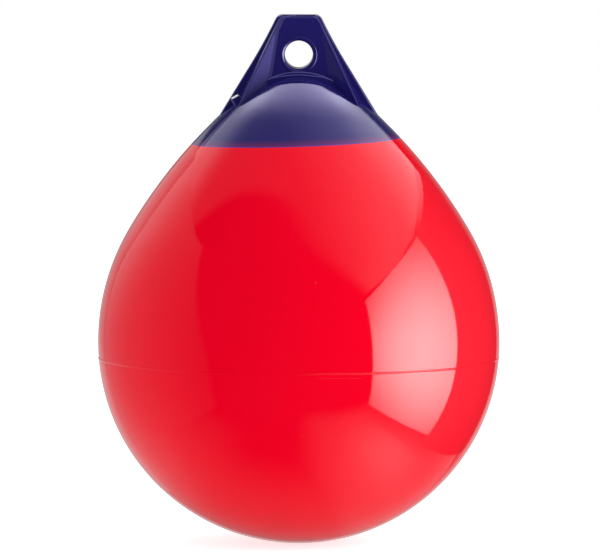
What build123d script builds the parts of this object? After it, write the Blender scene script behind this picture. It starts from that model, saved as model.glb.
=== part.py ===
from build123d import *
from math import acos, asin, cos, degrees, radians, sin, sqrt, tan
import os

os.makedirs("parts", exist_ok=True)

# Inflatable mooring buoy. Z is up, Y runs through the rope eye, the front faces -Y.
# The origin is on the axis at the level of the water when it floats eye up and unloaded.
# Heights written below are measured from the centre of the rope eye. All lengths are millimetres.

# inflated skin
ball_r = 260.5
shoulder_r = 291.7
shoulder_turn = 30.4
neck_turn = 46.1
neck_end_x = 107.5
neck_end_drop = 83.683
cap_crown_r = 600.0
wall = 4.0
draft = 77.0
seam_drop = 19.0
bead_half = 1.6
bead_crest = 0.7
bead_proud = 1.0

# change of colour between the skin and the rope hold
border_drop = 112.0
border_roll = 1.8

# rope hold, centre plate
hold_top = 51.0
plate_half = 12.0
plate_top_half = 27.4
plate_corner = 10.0
plate_waist_x = 69.2
plate_waist_z = -24.5
plate_bow = 1.5
plate_foot_x = 102.0
plate_edge_r = 2.5

# rope hold, the two legs on each face
leg_inset = 2.6
leg_spread = 27.0
leg_draft = 10.0
leg_top_half = 20.0
leg_top_r = 7.0
leg_lean = 10.0
leg_edge_r = 1.2

# rope hold, the recess between the legs
web_half = 23.5
web_top_x = 30.0
web_top_z = 28.0
web_spread = 9.0
leg_wall_slant = 61.0
floor_top = -28.0
floor_crown_r = 90.0
floor_side_slope = 33.5
floor_drop = 16.1
rim_r = 2.5
step_h = 5.8
step_out = 2.6
ceiling_drop = 70.0

# rope eye
eye_r = 18.25
lip_r = 4.4
collar_proud = 1.4

# inflation valve
valve_x = -82.0
valve_y = -24.0
valve_tilt = 28.0
boss_r = 6.6
boss_rise = 8.6
boss_length = 16.0
screw_head_r = 5.2
screw_head_h = 1.9
screw_shank_r = 2.4
screw_shank_l = 10.0
screw_clear = 0.2
slot_w = 1.2
slot_d = 1.0

# skin profile: three arcs, each tangent to the next, the last one ending at the rope hold
shoulder_x = ball_r - shoulder_r
neck_gap = neck_end_x - shoulder_x - shoulder_r * cos(radians(shoulder_turn))
neck_r = neck_gap / (cos(radians(neck_turn)) - cos(radians(shoulder_turn)))
neck_x = neck_end_x - neck_r * cos(radians(neck_turn))
neck_end_z = -neck_end_drop
neck_z = neck_end_z - neck_r * sin(radians(neck_turn))
ball_z = neck_z - (shoulder_r - neck_r) * sin(radians(shoulder_turn))
neck_in_x = neck_x + (neck_r - wall) * cos(radians(neck_turn))
neck_in_z = neck_z + (neck_r - wall) * sin(radians(neck_turn))
cap_x = neck_end_x - cap_crown_r * cos(radians(neck_turn))
cap_z = neck_end_z - cap_crown_r * sin(radians(neck_turn))
seam_turn = -degrees(asin(seam_drop / ball_r))
bead_turn = degrees(asin(bead_half / ball_r))
crest_turn = degrees(asin(bead_crest / ball_r))

# planes through the rope eye
eye_z = ball_r - ball_z - draft
front = Plane(origin=(0, 0, eye_z), x_dir=(1, 0, 0), z_dir=(0, -1, 0))
side = Plane(origin=(0, 0, eye_z), x_dir=(0, 1, 0), z_dir=(1, 0, 0))
level = Plane(origin=(0, 0, eye_z), x_dir=(1, 0, 0), z_dir=(0, 0, 1))
eye_axis = Axis((0, 0, eye_z), (0, 1, 0))
border_plane = Plane(
    origin=(0, 0, eye_z - border_drop),
    z_dir=(-sin(radians(border_roll)), 0, cos(radians(border_roll))),
)


def from_ball(radius, turn):
    # a profile point at this radius and angle from the middle of the ball
    return (radius * cos(radians(turn)), ball_z + radius * sin(radians(turn)))


def crown_z(radius):
    # the height of the cap's crown at this radius
    return cap_z + sqrt(cap_crown_r**2 - (radius - cap_x) ** 2)


# red skin, a hollow ball drawn up into a neck, with the raised parting bead
with BuildPart() as body_shell:
    with BuildSketch(front):
        with BuildLine():
            CenterArc((0, ball_z), ball_r, -90, 90 + seam_turn - bead_turn)
            Polyline(
                from_ball(ball_r, seam_turn - bead_turn),
                from_ball(ball_r + bead_proud, seam_turn - crest_turn),
                from_ball(ball_r + bead_proud, seam_turn + crest_turn),
                from_ball(ball_r, seam_turn + bead_turn),
            )
            CenterArc((0, ball_z), ball_r, seam_turn + bead_turn, -seam_turn - bead_turn)
            CenterArc((shoulder_x, ball_z), shoulder_r, 0, shoulder_turn)
            CenterArc((neck_x, neck_z), neck_r, shoulder_turn, neck_turn - shoulder_turn)
            Line((neck_end_x, neck_end_z), (neck_in_x, neck_in_z))
            CenterArc((neck_x, neck_z), neck_r - wall, neck_turn, shoulder_turn - neck_turn)
            CenterArc((shoulder_x, ball_z), shoulder_r - wall, shoulder_turn, -shoulder_turn)
            CenterArc((0, ball_z), ball_r - wall, 0, -90)
            Line((0, ball_z - ball_r + wall), (0, ball_z - ball_r))
        make_face()
    revolve(axis=Axis.Z)
    split(bisect_by=border_plane, keep=Keep.BOTTOM)
body_shell.part.label = "body_shell"
export_step(body_shell.part, "parts/body_shell.step")

# blue cap: the top of the same skin, crowned and thick, with a sloping recess floor on each face
cap_low_z = neck_z + neck_r * sin(radians(shoulder_turn))
cap_top_x = web_half
cap_top_turn = degrees(acos((cap_top_x - cap_x) / cap_crown_r))
floor_reach = neck_end_x
arch_x = floor_crown_r * sin(radians(floor_side_slope))
arch_z = floor_top - floor_crown_r * (1 - cos(radians(floor_side_slope)))
floor_side_z = arch_z - (floor_reach - arch_x) * tan(radians(floor_side_slope))
floor_dir = (0, -cos(radians(floor_drop)), -sin(radians(floor_drop)))


def floor_outline(rise):
    # the arched floor with straight sides, closed above the rope hold
    with BuildLine() as outline:
        Line((-floor_reach, floor_side_z + rise), (-arch_x, arch_z + rise))
        ThreePointArc((-arch_x, arch_z + rise), (0, floor_top + rise), (arch_x, arch_z + rise))
        Polyline(
            (arch_x, arch_z + rise),
            (floor_reach, floor_side_z + rise),
            (floor_reach, hold_top),
            (-floor_reach, hold_top),
            (-floor_reach, floor_side_z + rise),
        )
    return outline.line


with BuildPart() as cap_form:
    with BuildSketch(front):
        with BuildLine():
            Line((0, cap_low_z), (0, crown_z(cap_top_x)))
            Line((0, crown_z(cap_top_x)), (cap_top_x, crown_z(cap_top_x)))
            CenterArc((cap_x, cap_z), cap_crown_r, cap_top_turn, neck_turn - cap_top_turn)
            outer = CenterArc((neck_x, neck_z), neck_r, neck_turn, shoulder_turn - neck_turn)
            Line(outer @ 1, (0, cap_low_z))
        make_face()
    revolve(axis=Axis.Z)
    with BuildSketch(front.offset(web_half + step_out)):
        add(floor_outline(0))
        make_face()
    floor_cut = extrude(amount=ball_r / 2, dir=floor_dir, mode=Mode.SUBTRACT)
    mirror(floor_cut, about=Plane.XZ, mode=Mode.SUBTRACT)
    curved = cap_form.edges().filter_by(GeomType.LINE, reverse=True)
    high = curved.filter_by(lambda e: (e @ 0.5).Z > eye_z + neck_end_z)
    fillet(high.filter_by(lambda e: abs((e @ 0.5).Y) > web_half + 2 * step_out), rim_r)
    with BuildSketch(front.offset(web_half)):
        add(floor_outline(step_h))
        make_face()
    step_cut = extrude(amount=step_out, mode=Mode.SUBTRACT)
    mirror(step_cut, about=Plane.XZ, mode=Mode.SUBTRACT)

# blue rope hold: centre plate, tapered legs on both faces, eye, and the cap
plate_foot_z = crown_z(plate_foot_x)
plate_root_z = plate_foot_z - 2 * plate_half
plate_mid_x = (plate_top_half + plate_waist_x) / 2 - plate_bow
plate_mid_z = (hold_top + plate_waist_z) / 2
leg_top_x = plate_top_half - leg_inset
leg_root_x = leg_top_x + (hold_top - plate_root_z) * tan(radians(leg_spread))
leg_low_half = leg_top_half + (hold_top - plate_root_z) * tan(radians(leg_lean))
reach = ball_r / 2
web_low_x = web_top_x + (web_top_z + reach) * tan(radians(web_spread))
web_high_x = web_top_x - (reach / 2 - web_top_z) * tan(radians(web_spread))
slant = reach * tan(radians(leg_wall_slant))
with BuildPart() as plate_form:
    with BuildSketch(front) as plate_sketch:
        with BuildLine():
            Line((plate_top_half, hold_top), (-plate_top_half, hold_top))
            ThreePointArc(
                (-plate_top_half, hold_top),
                (-plate_mid_x, plate_mid_z),
                (-plate_waist_x, plate_waist_z),
            )
            Polyline(
                (-plate_waist_x, plate_waist_z),
                (-plate_foot_x, plate_foot_z),
                (-plate_foot_x, plate_root_z),
                (plate_foot_x, plate_root_z),
                (plate_foot_x, plate_foot_z),
                (plate_waist_x, plate_waist_z),
            )
            ThreePointArc(
                (plate_waist_x, plate_waist_z),
                (plate_mid_x, plate_mid_z),
                (plate_top_half, hold_top),
            )
        make_face()
        fillet(plate_sketch.vertices().group_by(Axis.Y)[-1], plate_corner)
    extrude(amount=plate_half, both=True)
    rims = plate_form.faces().filter_by(Axis.Y).edges()
    fillet(rims.filter_by(lambda e: (e @ 0.5).Z > eye_z + plate_foot_z), plate_edge_r)

with BuildPart() as rope_hold:
    with BuildSketch(front.offset(plate_half - plate_edge_r)) as leg_sketch:
        with BuildLine():
            Polyline(
                (leg_top_x, hold_top),
                (-leg_top_x, hold_top),
                (-leg_root_x, plate_root_z),
                (leg_root_x, plate_root_z),
                close=True,
            )
        make_face()
        fillet(leg_sketch.vertices().group_by(Axis.Y)[-1], plate_corner)
    legs = extrude(amount=reach / 2, taper=leg_draft)
    mirror(legs, about=Plane.XZ)
    with BuildSketch(side) as lean_sketch:
        with BuildLine():
            Polyline(
                (-leg_top_half, hold_top),
                (leg_top_half, hold_top),
                (leg_low_half, plate_root_z),
                (-leg_low_half, plate_root_z),
                close=True,
            )
        make_face()
        fillet(lean_sketch.vertices().group_by(Axis.Y)[-1], leg_top_r)
    extrude(amount=reach, both=True, mode=Mode.INTERSECT)
    with BuildSketch(front.offset(web_half)):
        with BuildLine():
            Polyline(
                (-web_low_x, -reach),
                (web_low_x, -reach),
                (web_high_x, reach / 2),
                (-web_high_x, reach / 2),
                close=True,
            )
        make_face()
    with BuildSketch(front.offset(web_half + reach)):
        with BuildLine():
            Polyline(
                (-web_low_x - slant, -reach),
                (web_low_x + slant, -reach),
                (web_high_x + slant, reach / 2),
                (-web_high_x - slant, reach / 2),
                close=True,
            )
        make_face()
    pocket = loft(ruled=True, mode=Mode.SUBTRACT)
    mirror(pocket, about=Plane.XZ, mode=Mode.SUBTRACT)
    long_edges = rope_hold.edges().filter_by(lambda e: e.length > 2 * hold_top)
    outward = long_edges.filter_by(lambda e: abs((e @ 0.5).Y) > web_half + leg_edge_r)
    fillet(outward, leg_edge_r)
    add(plate_form.part)
    add(cap_form.part)
    split(bisect_by=border_plane, keep=Keep.TOP)
    with BuildSketch(front):
        with BuildLine():
            TangentArc((0, -ceiling_drop), (neck_in_x, neck_in_z), tangent=(1, 0))
            inner = CenterArc((neck_x, neck_z), neck_r - wall, neck_turn, shoulder_turn - neck_turn)
            Line(inner @ 1, (0, (inner @ 1).Y))
            Line((0, (inner @ 1).Y), (0, -ceiling_drop))
        make_face()
    revolve(axis=Axis.Z, mode=Mode.SUBTRACT)
    collar_face = web_half + collar_proud
    collar_r = eye_r + lip_r
    with BuildSketch(front):
        Circle(collar_r)
    extrude(amount=web_half, both=True, mode=Mode.SUBTRACT)
    with BuildSketch(level):
        with BuildLine():
            Line((eye_r, lip_r - collar_face), (eye_r, collar_face - lip_r))
            CenterArc((collar_r, collar_face - lip_r), lip_r, 180, -90)
            CenterArc((collar_r, web_half), collar_proud, 90, -90)
            Line((collar_r + collar_proud, web_half), (collar_r + collar_proud, -web_half))
            CenterArc((collar_r, -web_half), collar_proud, 0, -90)
            CenterArc((collar_r, lip_r - collar_face), lip_r, 270, -90)
        make_face()
    revolve(axis=eye_axis)
    valve_dir = (-sin(radians(valve_tilt)), 0, cos(radians(valve_tilt)))
    boss_top_z = crown_z(sqrt(valve_x**2 + valve_y**2)) + boss_rise
    boss_plane = Plane(origin=(valve_x, valve_y, eye_z + boss_top_z), z_dir=valve_dir)
    with BuildSketch(boss_plane):
        Circle(boss_r)
    extrude(amount=-boss_length)
    with BuildSketch(boss_plane):
        Circle(screw_shank_r + screw_clear)
    extrude(amount=-screw_shank_l - screw_clear, mode=Mode.SUBTRACT)
rope_hold.part.label = "rope_hold"
export_step(rope_hold.part, "parts/rope_hold.step")

# white valve screw: slotted head on the boss, plain shank in the hole
with BuildPart() as valve_screw:
    with BuildSketch(boss_plane):
        Circle(screw_head_r)
    extrude(amount=screw_head_h)
    with BuildSketch(boss_plane):
        Circle(screw_shank_r)
    extrude(amount=-screw_shank_l)
    with BuildSketch(boss_plane.offset(screw_head_h)):
        Rectangle(2 * screw_head_r, slot_w)
    extrude(amount=-slot_d, mode=Mode.SUBTRACT)
valve_screw.part.label = "valve_screw"
export_step(valve_screw.part, "parts/valve_screw.step")
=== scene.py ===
import bpy
import numpy as np
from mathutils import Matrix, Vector


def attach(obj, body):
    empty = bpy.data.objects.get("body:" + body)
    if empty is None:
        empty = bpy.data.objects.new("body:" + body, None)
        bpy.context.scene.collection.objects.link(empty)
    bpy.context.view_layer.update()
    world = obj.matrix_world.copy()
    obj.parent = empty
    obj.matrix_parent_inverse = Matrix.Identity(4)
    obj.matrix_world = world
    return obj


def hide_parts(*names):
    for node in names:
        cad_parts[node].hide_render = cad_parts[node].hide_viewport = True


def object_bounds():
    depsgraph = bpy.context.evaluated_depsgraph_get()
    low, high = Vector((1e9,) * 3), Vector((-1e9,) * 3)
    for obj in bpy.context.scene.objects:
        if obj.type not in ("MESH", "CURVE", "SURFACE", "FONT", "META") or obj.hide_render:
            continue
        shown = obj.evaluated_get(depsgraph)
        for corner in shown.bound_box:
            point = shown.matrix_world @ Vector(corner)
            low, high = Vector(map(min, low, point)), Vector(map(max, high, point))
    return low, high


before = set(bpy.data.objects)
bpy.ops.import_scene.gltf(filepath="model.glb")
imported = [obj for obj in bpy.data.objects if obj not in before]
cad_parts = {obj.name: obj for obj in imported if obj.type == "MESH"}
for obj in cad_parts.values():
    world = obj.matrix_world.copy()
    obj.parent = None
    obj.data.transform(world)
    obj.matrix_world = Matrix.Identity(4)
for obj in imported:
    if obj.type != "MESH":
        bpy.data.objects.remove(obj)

cad_low, cad_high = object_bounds()

# Camera. A long lens about 12 m off and a little above the eye of the buoy, looking slightly down,
# so that the ball is seen almost square on and the colour border reads as a shallow bowl.
camera_at = Vector((0.0016, -12.0, 1.2017))
camera_tilt = np.radians(4.459)
camera_data = bpy.data.cameras.new("camera")
camera_data.sensor_width = 36.0
camera_data.lens = 557.1
camera_data.clip_end = 60.0
camera = bpy.data.objects.new("camera", camera_data)
camera.location = camera_at
camera.rotation_euler = (np.pi / 2 - camera_tilt, 0, 0)
bpy.context.scene.collection.objects.link(camera)
bpy.context.scene.camera = camera
bpy.context.scene.view_settings.view_transform = "Standard"


# Red skin. One blown bag of soft vinyl, about 4 mm thick, moulded in a two-part steel mould: its parting
# line runs round as a thin raised bead a little below the middle. The skin is as smooth and glossy as
# the mould, with a very slight unevenness from cooling, and it runs on without a step into the rope hold.
ball_r = 0.2605
shoulder_r = 0.2917
shoulder_turn = np.radians(30.4)
neck_turn = np.radians(46.1)
neck_end_x = 0.1075
neck_end_drop = 0.083683
hold_eye_z = 0.558
wall = 0.004
seam_drop = 0.019
border_drop = 0.112
border_slope = np.tan(np.radians(1.8))

shoulder_x = ball_r - shoulder_r
neck_r = (neck_end_x - shoulder_x - shoulder_r * np.cos(shoulder_turn)) / (
    np.cos(neck_turn) - np.cos(shoulder_turn)
)
neck_x = neck_end_x - neck_r * np.cos(neck_turn)
neck_z = hold_eye_z - neck_end_drop - neck_r * np.sin(neck_turn)
ball_z = neck_z - (shoulder_r - neck_r) * np.sin(shoulder_turn)
border_z = hold_eye_z - border_drop
seam_z = ball_z - seam_drop


def skin_radius(z, inset):
    """Distance of the skin from the axis at height z: a ball below its middle, then the shoulder arc and
    the neck arc, each one a circle sqrt(r^2 - dz^2) about its own centre, less the inset."""
    low = np.sqrt(np.maximum((ball_r - inset) ** 2 - (z - ball_z) ** 2, 0))
    mid = shoulder_x + np.sqrt(np.maximum((shoulder_r - inset) ** 2 - (z - ball_z) ** 2, 0))
    high = neck_x + np.sqrt(np.maximum((neck_r - inset) ** 2 - (z - neck_z) ** 2, 0))
    mid_top = ball_z + (shoulder_r - inset) * np.sin(shoulder_turn)
    return np.where(z < ball_z, low, np.where(z < mid_top, mid, high))


def skin_swell(turn, z):
    """Unevenness of the skin in metres: a few long waves in angle and height, none at the bottom and at
    the colour border, and a patch of short ripples high up on the right, where the skin cooled last."""
    slow_height, short_height = 0.00016, 0.00007
    slow = np.sin(2 * turn + 9 * z) * np.sin(11 * z + 0.7)
    slow += 0.6 * np.sin(3 * turn - 14 * z + 1.1) * np.cos(17 * z)
    slow += 0.35 * np.sin(7 * turn + 23 * z + 2.0) * np.sin(31 * z + 0.4)
    fade = np.clip((border_z - 0.012 - z) / 0.06, 0, 1) * np.clip((z - cad_low.z) / 0.08, 0, 1)
    patch = np.exp(-(((np.degrees(turn) - 36) / 24) ** 2) - ((z - 0.425) / 0.028) ** 2)
    short = np.sin(190 * z + 5 * np.sin(9 * turn)) * np.sin(26 * turn + 60 * z)
    top = np.clip((border_z - 0.006 - z) / 0.012, 0, 1)
    return slow_height * slow * fade + short_height * short * patch * top


# heights of the rows: even steps along the arc, and close steps over the bead
low_rows, bead_rows, high_rows, inner_rows = 73, 41, 95, 34
seam_turn = -np.arcsin(seam_drop / ball_r)
turns_low = np.linspace(-np.pi / 2, seam_turn - 0.028, low_rows + 1)[1:]
turns_bead = seam_turn + np.linspace(-0.026, 0.014, bead_rows)
z_low = ball_z + ball_r * np.sin(turns_low)
z_bead = ball_z + ball_r * np.sin(turns_bead)
columns = 400
turn = np.linspace(0, 2 * np.pi, columns, endpoint=False)
share = np.linspace(0, 1, high_rows + 1)[1:] ** 0.96
# the last row lies on the tilted border, where the height and the radius settle together in a few rounds
edge_z = np.full(columns, border_z)
for _ in range(6):
    edge_z = border_z + border_slope * skin_radius(edge_z, 0) * np.sin(turn)
rows = [np.repeat(z_low[:, None], columns, 1), np.repeat(z_bead[:, None], columns, 1)]
rows.append(z_bead[-1] + (edge_z - z_bead[-1]) * share[:, None])
skin_z = np.concatenate(rows)
skin_turn = np.repeat(turn[None, :], len(skin_z), 0)

# the bead: a low rounded ridge whose height and level vary a little round the ball
bead_width, rough_width, second_width = 0.0009, 0.0007, 0.0006
second_drop = 0.0053
bead_level = seam_z + 0.0004 * np.sin(5 * skin_turn + 0.6) + 0.00025 * np.sin(13 * skin_turn)
bead_height = 0.00062 + 0.00022 * np.sin(3 * skin_turn - 0.5) + 0.00014 * np.sin(17 * skin_turn + 1)
bead = bead_height * np.exp(-(((skin_z - bead_level) / bead_width) ** 2))
# a short stretch near the front stands higher and rougher, with a second faint ridge below it
rough = np.exp(-(((np.degrees(skin_turn) - 10) / 8) ** 4)) * (1 + 0.4 * np.sin(71 * skin_turn))
bead += 0.00045 * rough * np.exp(-(((skin_z - bead_level) / rough_width) ** 2))
bead += 0.00035 * rough * np.exp(-(((skin_z - bead_level + second_drop) / second_width) ** 2))
skin_out = skin_radius(skin_z, 0) + skin_swell(skin_turn, skin_z) + bead
inner_share = np.linspace(0, 1, inner_rows)[:, None] ** 1.3
inner_z = edge_z - (edge_z - (cad_low.z + wall)) * inner_share
inner_r = skin_radius(inner_z[:-1], wall)


def ring_points(radius, z, around):
    """Points on level rings: x = r sin(turn), y = -r cos(turn), so that turn 0 faces the camera."""
    points = np.stack([radius * np.sin(around), -radius * np.cos(around), z], -1)
    return points.reshape(-1, 3)


def lathe_faces(ring_count, ring_size, first):
    """Quads between neighbouring rings of a closed grid: (i, j), (i, j+1), (i+1, j+1), (i+1, j)."""
    i, j = np.meshgrid(np.arange(ring_count - 1), np.arange(ring_size), indexing="ij")
    k = (j + 1) % ring_size
    low, high = i * ring_size, (i + 1) * ring_size
    quads = np.stack([low + j, low + k, high + k, high + j], -1)
    return first + quads.reshape(-1, 4)


def lathe_cap(ring_start, pole, ring_size, outward):
    """Triangles from one ring to the single point at a pole."""
    j = np.arange(ring_size)
    k = (j + 1) % ring_size
    near, far = (k, j) if outward else (j, k)
    return np.stack([ring_start + near, ring_start + far, np.full(ring_size, pole)], -1)


def put_mesh(name, points, faces, sharp=None):
    """One smooth mesh object at the origin, with creases where faces turn by more than the given angle."""
    mesh = bpy.data.meshes.new(name)
    mesh.from_pydata(points.tolist(), [], [f for block in faces for f in block.tolist()])
    mesh.shade_smooth()
    if sharp:
        mesh.set_sharp_from_angle(angle=np.radians(sharp))
    made = bpy.data.objects.new(name, mesh)
    bpy.context.scene.collection.objects.link(made)
    return made


outer = ring_points(skin_out, skin_z, skin_turn)
inner = ring_points(inner_r, inner_z[:-1], np.repeat(turn[None, :], len(inner_r), 0))
poles = np.array([[0, 0, cad_low.z], [0, 0, cad_low.z + wall]])
ring_total = len(skin_z) + len(inner_r)
skin_points = np.concatenate([outer, inner, poles])
skin_faces = [
    lathe_faces(ring_total, columns, 0),
    lathe_cap(0, ring_total * columns, columns, True),
    lathe_cap((ring_total - 1) * columns, ring_total * columns + 1, columns, False),
]
skin = put_mesh("red_skin", skin_points, skin_faces, sharp=35)


# surface finishes that both vinyls share
def new_group(name, inputs, outputs):
    """An empty shader group with the named sockets: (name, kind, default)."""
    group = bpy.data.node_groups.new(name, "ShaderNodeTree")
    for label, kind, value in inputs:
        socket = group.interface.new_socket(label, in_out="INPUT", socket_type=kind)
        socket.default_value = value
    for label, kind in outputs:
        group.interface.new_socket(label, in_out="OUTPUT", socket_type=kind)
    nodes = group.nodes
    return group, nodes.new("NodeGroupInput"), nodes.new("NodeGroupOutput")


def math_node(tree, operation, *values):
    """The result of one math node. Its inputs are plain numbers or the results of other nodes."""
    node = tree.nodes.new("ShaderNodeMath")
    node.operation = operation
    for socket, value in zip(node.inputs, values):
        if isinstance(value, (int, float)):
            socket.default_value = value
        else:
            tree.links.new(value, socket)
    return node.outputs[0]


def noise_node(tree, place, scale, detail):
    """Soft noise from 0 to 1 over the given place."""
    node = tree.nodes.new("ShaderNodeTexNoise")
    node.inputs["Scale"].default_value = scale
    node.inputs["Detail"].default_value = detail
    tree.links.new(place, node.inputs["Vector"])
    return node.outputs["Fac"]


def cover_node(tree, share, under, color):
    """One plain colour laid over the colour under it, by a share from 0 to 1."""
    node = tree.nodes.new("ShaderNodeMix")
    node.data_type = "RGBA"
    node.inputs["B"].default_value = color
    tree.links.new(share, node.inputs["Factor"])
    tree.links.new(under, node.inputs["A"])
    return node.outputs["Result"]


# moulded vinyl: a cloudy change of depth in the colour, small dust specks, and an uneven gloss
vinyl_group, g_in, g_out = new_group(
    "moulded_vinyl",
    [
        ("Color", "NodeSocketColor", (1, 1, 1, 1)),
        ("Cloud", "NodeSocketFloat", 0.06),
        ("Gloss", "NodeSocketFloat", 0.05),
        ("Specks", "NodeSocketFloat", 0.3),
        ("Ripple", "NodeSocketFloat", 0.1),
    ],
    [("Color", "NodeSocketColor"), ("Roughness", "NodeSocketFloat"), ("Height", "NodeSocketFloat")],
)
dust_color = (0.35, 0.12, 0.12, 1)
dust_size = 0.06
nodes, links = vinyl_group.nodes, vinyl_group.links
where = nodes.new("ShaderNodeTexCoord").outputs["Object"]
cloud = noise_node(vinyl_group, where, 9.0, 3.0)
cloud_shift = math_node(vinyl_group, "SUBTRACT", cloud, 0.5)
cloud_level = math_node(vinyl_group, "MULTIPLY_ADD", cloud_shift, g_in.outputs["Cloud"], 1.0)
tone = nodes.new("ShaderNodeVectorMath")
tone.operation = "SCALE"
links.new(g_in.outputs["Color"], tone.inputs[0])
links.new(cloud_level, tone.inputs["Scale"])
grit = nodes.new("ShaderNodeTexVoronoi")
grit.inputs["Scale"].default_value = 42.0
links.new(where, grit.inputs["Vector"])
grit_size = math_node(vinyl_group, "MULTIPLY", grit.outputs["Color"], dust_size)
speck = math_node(vinyl_group, "LESS_THAN", grit.outputs["Distance"], grit_size)
speck_share = math_node(vinyl_group, "MULTIPLY", speck, g_in.outputs["Specks"])
with_specks = cover_node(vinyl_group, speck_share, tone.outputs["Vector"], dust_color)
links.new(with_specks, g_out.inputs["Color"])
haze = noise_node(vinyl_group, where, 26.0, 4.0)
haze_level = math_node(vinyl_group, "ADD", haze, 0.5)
gloss = math_node(vinyl_group, "MULTIPLY", haze_level, g_in.outputs["Gloss"])
links.new(gloss, g_out.inputs["Roughness"])
peel = noise_node(vinyl_group, where, 34.0, 1.0)
peel_height = math_node(vinyl_group, "MULTIPLY", peel, g_in.outputs["Ripple"])
links.new(peel_height, g_out.inputs["Height"])


def vinyl_material(name, color, cloud, gloss, specks, ripple, ior):
    """A glossy vinyl: the shared moulded finish feeds colour, roughness and a very low bump."""
    material = bpy.data.materials.new(name)
    material.use_nodes = True
    tree = material.node_tree
    shader = tree.nodes["Principled BSDF"]
    shader.inputs["IOR"].default_value = ior
    finish = tree.nodes.new("ShaderNodeGroup")
    finish.name = "finish"
    finish.node_tree = vinyl_group
    finish.inputs["Color"].default_value = color
    finish.inputs["Cloud"].default_value = cloud
    finish.inputs["Gloss"].default_value = gloss
    finish.inputs["Specks"].default_value = specks
    finish.inputs["Ripple"].default_value = ripple
    bump = tree.nodes.new("ShaderNodeBump")
    bump.inputs["Strength"].default_value = 0.35
    bump.inputs["Distance"].default_value = 0.0004
    tree.links.new(finish.outputs["Color"], shader.inputs["Base Color"])
    tree.links.new(finish.outputs["Roughness"], shader.inputs["Roughness"])
    tree.links.new(finish.outputs["Height"], bump.inputs["Height"])
    tree.links.new(bump.outputs["Normal"], shader.inputs["Normal"])
    return material


red_color = (0.76, 0.0004, 0.0150, 1)
red_vinyl = vinyl_material(
    "red_vinyl", red_color, cloud=0.05, gloss=0.05, specks=0.35, ripple=0.25, ior=1.40
)
skin.data.materials.append(red_vinyl)
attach(skin, "root")
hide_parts("body_shell")


# Rope hold. Solid, stiffer blue vinyl, injection moulded onto the neck of the bag: a plate with the
# rope eye, two legs on each face that run out onto the cap, and the cap itself. It is the CAD part.
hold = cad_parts["rope_hold"]
blue_color = (0.0118, 0.0089, 0.098, 1)
blue_sheen = (0.66, 0.58, 1.0, 1)
blue_vinyl = vinyl_material(
    "blue_vinyl", blue_color, cloud=0.10, gloss=0.13, specks=0.15, ripple=0.3, ior=1.70
)
blue_tree = blue_vinyl.node_tree
nodes, links = blue_tree.nodes, blue_tree.links
blue_shader, blue_finish = nodes["Principled BSDF"], nodes["finish"]
blue_shader.inputs["Specular Tint"].default_value = blue_sheen


def range_node(tree, value, start, end, at_start, at_end, ease="LINEAR"):
    """Goes from at_start to at_end while the given value goes from start to end."""
    node = tree.nodes.new("ShaderNodeMapRange")
    node.interpolation_type = ease
    node.inputs["From Min"].default_value = start
    node.inputs["From Max"].default_value = end
    node.inputs["To Min"].default_value = at_start
    node.inputs["To Max"].default_value = at_end
    tree.links.new(value, node.inputs["Value"])
    return node.outputs["Result"]


# where the two vinyls meet: a bright thin seam of blue, then red showing through for a few millimetres
bleed_color = (0.42, 0.012, 0.06, 1)
bleed_share = 0.22
bleed_end = 0.010
seam_color = (0.045, 0.03, 0.26, 1)
seam_share = 0.75
seam_start, seam_end = 0.0006, 0.0022
hold_where = nodes.new("ShaderNodeTexCoord").outputs["Object"]
split_xyz = nodes.new("ShaderNodeSeparateXYZ")
links.new(hold_where, split_xyz.inputs[0])
border_drop_here = math_node(blue_tree, "MULTIPLY_ADD", split_xyz.outputs["X"], -border_slope, -border_z)
above_border = math_node(blue_tree, "ADD", split_xyz.outputs["Z"], border_drop_here)
bleed = range_node(blue_tree, above_border, 0.0, bleed_end, bleed_share, 0.0, "SMOOTHSTEP")
with_bleed = cover_node(blue_tree, bleed, blue_finish.outputs["Color"], bleed_color)
seam_line = range_node(blue_tree, above_border, seam_start, seam_end, seam_share, 0.0, "SMOOTHSTEP")
with_seam = cover_node(blue_tree, seam_line, with_bleed, seam_color)
links.new(with_seam, blue_shader.inputs["Base Color"])
# the inner walls of the two left pockets keep the fine eroded texture of the mould, so they are dull.
# Each lies where wall_facing, multiplied as a dot product with (|x|, |y|, |z|), gives wall_at.
wall_facing = (-0.4834, 0.8721, -0.0766)
wall_at = -0.03887
wall_roughness = 0.75
wall_near, wall_far = 0.0012, 0.0024
unsigned = nodes.new("ShaderNodeVectorMath")
unsigned.operation = "ABSOLUTE"
links.new(hold_where, unsigned.inputs[0])
across_wall = nodes.new("ShaderNodeVectorMath")
across_wall.operation = "DOT_PRODUCT"
across_wall.inputs[1].default_value = wall_facing
links.new(unsigned.outputs["Vector"], across_wall.inputs[0])
past_wall = math_node(blue_tree, "SUBTRACT", across_wall.outputs["Value"], wall_at)
off_wall = math_node(blue_tree, "ABSOLUTE", past_wall)
wall_dull = range_node(blue_tree, off_wall, wall_near, wall_far, wall_roughness, 0.0)
left_half = math_node(blue_tree, "LESS_THAN", split_xyz.outputs["X"], 0.0)
left_dull = math_node(blue_tree, "MULTIPLY", wall_dull, left_half)
hold_roughness = math_node(blue_tree, "MAXIMUM", blue_finish.outputs["Roughness"], left_dull)
links.new(hold_roughness, blue_shader.inputs["Roughness"])
hold.data.materials.clear()
hold.data.materials.append(blue_vinyl)


# Step ridges. Two fine rounded ridges on the step at the foot of the web, on both faces, left by the
# joint between two parts of the mould. They run together on both sides and die out in the leg walls.
ridge_y = 0.0261
ridge_top = hold_eye_z - 0.0222
ridge_arch = 0.090
ridge_gap = 0.0035
ridge_r = 0.0008
ridge_half = 0.0468
# the tubes' middle lies a third of a millimetre inside the face of the step
ridge_seat = 0.987
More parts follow.
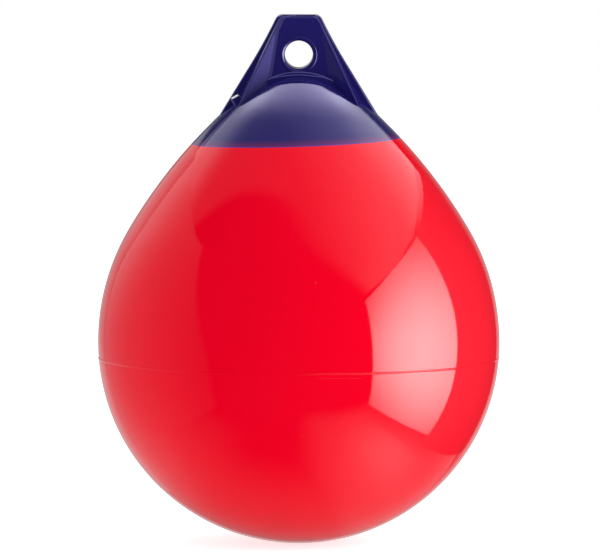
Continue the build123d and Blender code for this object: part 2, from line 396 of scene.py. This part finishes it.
# how far from the middle the two ridges start to run together, and over what length they do
merge_start, merge_length = 0.012, 0.032
ridge_x = np.linspace(-ridge_half, ridge_half, 90)
around = np.linspace(0, 2 * np.pi, 12, endpoint=False)
ridge_points, ridge_faces = [], []
for face_y, drop in ((-ridge_y, 0), (-ridge_y, ridge_gap), (ridge_y, 0), (ridge_y, ridge_gap)):
    # an arc of a circle, and the tube (x, y, z) + r (cos a * normal + sin a * y)
    shared = np.clip((np.abs(ridge_x) - merge_start) / merge_length, 0, 1)
    ridge_z = ridge_top - (ridge_arch - np.sqrt(ridge_arch**2 - ridge_x**2))
    ridge_z = ridge_z - drop * (1 - shared**2 * (3 - 2 * shared))
    slope = np.gradient(ridge_z, ridge_x)
    lean = 1 / np.sqrt(1 + slope**2)
    out_x = ridge_x[:, None] - ridge_r * np.cos(around) * (slope * lean)[:, None]
    out_z = ridge_z[:, None] + ridge_r * np.cos(around) * lean[:, None]
    out_y = np.broadcast_to(ridge_seat * face_y + ridge_r * np.sin(around), out_x.shape)
    ends = np.array([[ridge_x[0], face_y, ridge_z[0]], [ridge_x[-1], face_y, ridge_z[-1]]])
    start = sum(len(block) for block in ridge_points)
    last = start + (len(ridge_x) - 1) * len(around)
    ridge_points += [np.stack([out_x, out_y, out_z], -1).reshape(-1, 3), ends]
    ridge_faces.append(lathe_faces(len(ridge_x), len(around), start))
    ridge_faces.append(lathe_cap(start, last + len(around), len(around), True))
    ridge_faces.append(lathe_cap(last, last + len(around) + 1, len(around), False))
ridges = put_mesh("step_ridges", np.concatenate(ridge_points), ridge_faces)
# a lighter blue than the rest, a painted highlight that makes the thin ridges read as light lines
ridge_highlight_color = (0.062, 0.055, 0.235, 1)
ridge_highlight_vinyl = vinyl_material(
    "ridge_highlight_vinyl", ridge_highlight_color, cloud=0.15, gloss=0.25, specks=0.0, ripple=0.3, ior=1.85
)
ridges.data.materials.append(ridge_highlight_vinyl)
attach(ridges, "root")


# Valve screw. A white nylon screw with a slotted head that closes the inflation valve. It sits in a
# short boss on the foot of the left leg and is turned with a screwdriver or a coin.
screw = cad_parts["valve_screw"]
nylon_color = (0.93, 0.93, 0.95, 1)
white_nylon = vinyl_material(
    "white_nylon", nylon_color, cloud=0.06, gloss=0.35, specks=0.0, ripple=0.3, ior=1.53
)
screw.data.materials.clear()
screw.data.materials.append(white_nylon)


# Studio floor. Pale paper that reads as plain white to the camera and keeps the shadow under the ball.
floor_z = cad_low.z
floor_half = 9.0
floor_points = np.array([[-1, -1, 0], [1, -1, 0], [1, 1, 0], [-1, 1, 0]]) * floor_half
floor_points[:, 2] = floor_z
studio_floor = put_mesh("studio_floor", floor_points, [np.array([[0, 1, 2, 3]])])
paper = bpy.data.materials.new("floor_paper")
paper.use_nodes = True
nodes, links = paper.node_tree.nodes, paper.node_tree.links
paper_shader = nodes["Principled BSDF"]
paper_shader.inputs["Base Color"].default_value = (0.9, 0.9, 0.9, 1)
paper_shader.inputs["Roughness"].default_value = 0.9
paper_shader.inputs["Specular IOR Level"].default_value = 0.0
paper_glow, paper_glow_seen = 0.33, 0.40
glow = nodes.new("ShaderNodeEmission")
seen_ray = nodes.new("ShaderNodeLightPath").outputs["Is Camera Ray"]
glow_level = math_node(paper.node_tree, "MULTIPLY_ADD", seen_ray, paper_glow_seen, paper_glow)
links.new(glow_level, glow.inputs["Strength"])
both = nodes.new("ShaderNodeAddShader")
links.new(paper_shader.outputs[0], both.inputs[0])
links.new(glow.outputs[0], both.inputs[1])
links.new(both.outputs[0], nodes["Material Output"].inputs["Surface"])
studio_floor.data.materials.append(paper)
studio_floor.visible_glossy = False


# World. White to the camera. A surface that mirrors or refracts it sees a backdrop that dims upwards, and
# darkness on the photographer's side. Everything else is lit by an even soft level.
world = bpy.data.worlds.new("studio")
bpy.context.scene.world = world
world.use_nodes = True
world_tree = world.node_tree
nodes, links = world_tree.nodes, world_tree.links
background = nodes["Background"]
background.inputs["Color"].default_value = (1, 1, 1, 1)
soft_light = 0.72
# the backdrop starts and is whole at two directions along Y, and dims between two directions along Z
back_start, back_whole = 0.78, 1.0
dim_start, dim_end = -0.2, 0.2
backdrop_low, backdrop_high = 0.70, 0.16
ray_kind = nodes.new("ShaderNodeLightPath").outputs
mirror_ray = math_node(world_tree, "MAXIMUM", ray_kind["Is Glossy Ray"], ray_kind["Is Transmission Ray"])
direction = nodes.new("ShaderNodeTexCoord").outputs["Generated"]
split_dir = nodes.new("ShaderNodeSeparateXYZ")
links.new(direction, split_dir.inputs[0])
direction_y, direction_z = split_dir.outputs["Y"], split_dir.outputs["Z"]
back_side = range_node(world_tree, direction_y, back_start, back_whole, 0.0, 1.0, "SMOOTHSTEP")
back_fall = range_node(world_tree, direction_z, dim_start, dim_end, backdrop_low, backdrop_high)
back_level = math_node(world_tree, "MULTIPLY", back_side, back_fall)
mirror_level = math_node(world_tree, "MULTIPLY", mirror_ray, back_level)
other_ray = math_node(world_tree, "SUBTRACT", 1.0, mirror_ray)
unseen_level = math_node(world_tree, "MULTIPLY_ADD", other_ray, soft_light, mirror_level)
white_level = math_node(world_tree, "MAXIMUM", ray_kind["Is Camera Ray"], unseen_level)
links.new(white_level, background.inputs["Strength"])


# Lamps. Three wide soft lamps give the plain studio light: a strong one on the right, one above, and a
# weak one on the left that lifts the shadow side.
def soft_lamp(name, at, aim, width, height, watts):
    """A rectangular lamp at one point that faces another. The panels below stand for its mirror image."""
    data = bpy.data.lights.new(name, "AREA")
    data.shape = "RECTANGLE"
    data.size, data.size_y = width, height
    data.energy = watts
    lamp = bpy.data.objects.new(name, data)
    lamp.location = at
    lamp.rotation_mode = "QUATERNION"
    lamp.rotation_quaternion = (Vector(aim) - Vector(at)).to_track_quat("-Z", "Y")
    lamp.visible_glossy = False
    bpy.context.scene.collection.objects.link(lamp)


ball_middle = (0, 0, ball_z)
soft_lamp("lamp_right", (2.4, -1.2, 0.9), ball_middle, 1.8, 2.0, 34)
soft_lamp("lamp_above", (0.2, -0.4, 2.6), ball_middle, 2.4, 2.4, 16)
soft_lamp("lamp_left", (-2.6, -1.4, 0.8), ball_middle, 1.8, 2.0, 6)


# Panels. The white sheets and the window-like softbox that a glossy ball mirrors. Only mirror rays see
# them, and each one's brightness is a plain function of the place on it.
def mirror_panel(name, corner, along, across, steps, brightness, twist=(0, 0, 0)):
    """A grid of corner + u*along + v*across + u*v*twist, with u and v from 0 to 1. It glows with the
    brightness that the given function of x, y and z has there."""
    corner, along, across, twist = (np.array(v, float) for v in (corner, along, across, twist))
    u, v = np.meshgrid(np.linspace(0, 1, steps), np.linspace(0, 1, steps), indexing="ij")
    points = corner + u[..., None] * along + v[..., None] * across + (u * v)[..., None] * twist
    i, j = np.meshgrid(np.arange(steps - 1), np.arange(steps - 1), indexing="ij")
    a = i * steps + j
    quads = np.stack([a, a + 1, a + steps + 1, a + steps], -1).reshape(-1, 4)
    panel = put_mesh(name, points.reshape(-1, 3), [quads])
    glow_map = panel.data.attributes.new("glow", "FLOAT", "POINT")
    levels = brightness(points[..., 0], points[..., 1], points[..., 2])
    glow_map.data.foreach_set("value", levels.ravel().astype(np.float32))
    material = bpy.data.materials.new(name)
    material.use_nodes = True
    nodes, links = material.node_tree.nodes, material.node_tree.links
    nodes.remove(nodes["Principled BSDF"])
    level = nodes.new("ShaderNodeAttribute")
    level.attribute_name = "glow"
    emit = nodes.new("ShaderNodeEmission")
    links.new(level.outputs["Fac"], emit.inputs["Strength"])
    links.new(emit.outputs[0], nodes["Material Output"].inputs["Surface"])
    panel.data.materials.append(material)
    panel.visible_camera = panel.visible_diffuse = panel.visible_shadow = False
    panel.visible_transmission = panel.visible_volume_scatter = False


def smooth(x, low, high):
    """0 below low, 1 above high, and a smooth ease between."""
    t = np.clip((x - low) / (high - low), 0, 1)
    return t * t * (3 - 2 * t)


def window_glow(x, y, z):
    """Softbox: brightest a little behind its middle, dimmer towards all four edges."""
    level, middle_y, middle_z = 14.0, -0.65, 0.12
    reach_y = np.where(y > middle_y, 0.95, 1.25)
    reach_z = 1.03
    return level * np.exp(-(((y - middle_y) / reach_y) ** 2) - ((z - middle_z) / reach_z) ** 2)


mirror_panel(
    "softbox_right",
    (1.5, -1.66, -1.0),
    (0, 1.80, 0.10),
    (0, -0.17, 2.15),
    40,
    window_glow,
    twist=(0, 0.18, 0.11),
)


def wall_glow(x, y, z):
    """Wall behind the softbox: lit by it close by, dim farther back."""
    far_level, near_gain = 0.06, 0.48
    start_y, reach = 0.15, 0.6
    return far_level + near_gain * np.exp(-(y - start_y) / reach)


mirror_panel("wall_right", (1.52, 0.15, -1.1), (0, 3.0, 0), (0, 0, 2.46), 30, wall_glow)


def above_glow(x, y, z):
    """Sheet above: it rises to the right and to the back, and ends on a slant on the left. Its right edge
    lies farther out at the front, and past that edge only the weaker glow of the left half goes on. A lamp
    stands over the rope hold, and its front edge bends back on both sides."""
    side = np.abs(x)
    start_level, per_x, per_y, most = 0.12, 0.60, 0.40, 1.35
    front_slant, left_slant = 0.45, 0.53
    corner_gain, left_level, left_gain = 0.4, 0.28, 0.85
    right_edge, edge_width, farther_out = 2.14, 0.03, 0.25
    rise = np.clip(start_level + per_x * x + per_y * (y + 1.05), 0, most)
    rise *= smooth(y + front_slant * x, -1.9, -1.1)
    far_corner = corner_gain * smooth(y, 0.0, 0.8) * smooth(x, 0.6, 1.2)
    from_edge = x - farther_out * (1 - smooth(y, -1.2, 0.1))
    right = (rise + far_corner) * (1 - smooth(from_edge, right_edge, right_edge + edge_width))
    left = (left_level + left_gain * smooth(y, 0.2, 1.2)) * smooth(y + left_slant * x, -1.05, -0.83)
    sheet = np.maximum(right, left) * (1 - smooth(y - 1.2 * side, 0.45, 0.8))
    lamp_level, lamp_bend = 3.3, 0.75
    lamp_front = smooth(y - 0.10 - lamp_bend * side**2.2, -0.22, 0.24)
    lamp_back = 1 - smooth(y - side, 0.45, 0.8)
    lamp_side = 1 - smooth(side, 0.75, 1.35)
    return sheet + lamp_level * lamp_front * lamp_back * lamp_side


mirror_panel("sheet_above", (-2.15, -3.0, 1.9), (4.6, 0, 0), (0, 6.5, 0), 200, above_glow)


def left_glow(x, y, z):
    """White sheet on the left: it brightens away from the camera, towards its top and towards its foot. It
    ends at the back on a line that leans forward at the top, with the dimmer studio wall beyond."""
    sheet_start, start_lean = -1.55, 0.55
    sheet_end, end_lean = 2.45, 0.40
    start_level, back_gain, top_gain, foot_gain = 0.09, 0.39, 0.42, 0.20
    wall_level, wall_back, wall_top, wall_foot = 0.36, 0.14, 0.12, 0.16
    front_edge = smooth(y - sheet_start - start_lean * np.maximum(z, 0), 0.0, 0.12)
    rise = start_level + back_gain * np.clip((y + 1.5) / 1.65, 0, 1)
    top = top_gain * np.clip(z - 0.2, 0, 1.5) * np.clip((y - 0.2) / 1.2, 0, 1)
    foot = foot_gain * np.clip(-z - 0.4, 0, 1) * np.clip(y / 1.2, 0, 1)
    past_end = y - sheet_end + end_lean * smooth(z, 0.4, 1.4)
    beyond = wall_level + wall_back * smooth(past_end, 0, 0.7)
    beyond += wall_top * smooth(z, 0.7, 1.1) + wall_foot * smooth(-z, 0.05, 0.5)
    return np.where(past_end > 0, beyond, front_edge * (rise + top + foot))


mirror_panel("sheet_left", (-1.8, -1.7, -2.4), (0, 8.0, 0), (0, 0, 4.2), 120, left_glow)


def below_glow(x, y, z):
    """Sheet under the ball: dim in the middle, brighter on the left, and on the right lit by the softbox,
    whose spill drops by a third past a line just short of its foot."""
    left_level, middle_level, right_level, spill_level = 0.62, 0.33, 0.45, 1.5
    spill_x, spill_y, reach_x, reach_y = 1.05, -0.45, 0.5, 0.75
    far_loss, line_loss, line_start, line_end = 0.4, 0.35, 1.33, 1.37
    on_left = smooth(-x, 0.5, 1.3)
    left = left_level * on_left * np.clip((y + 1.3) / 1.9, 0, 1)
    middle = middle_level * smooth(y, -0.9, 0.1) * (1 - on_left)
    right = right_level * smooth(x, -0.1, 0.4) * (1 - far_loss * smooth(x, 1.3, 2.2))
    right *= smooth(y, -2.1, -1.4)
    spill = spill_level * np.exp(-(((x - spill_x) / reach_x) ** 2) - ((y - spill_y) / reach_y) ** 2)
    spill *= smooth(y, -2.0, -1.5) * (1 - line_loss * smooth(x, line_start, line_end))
    return np.maximum(left + middle, right) + spill


mirror_panel("sheet_below", (-2.4, -2.4, -1.1), (4.8, 0, 0), (0, 4.8, 0), 240, below_glow)
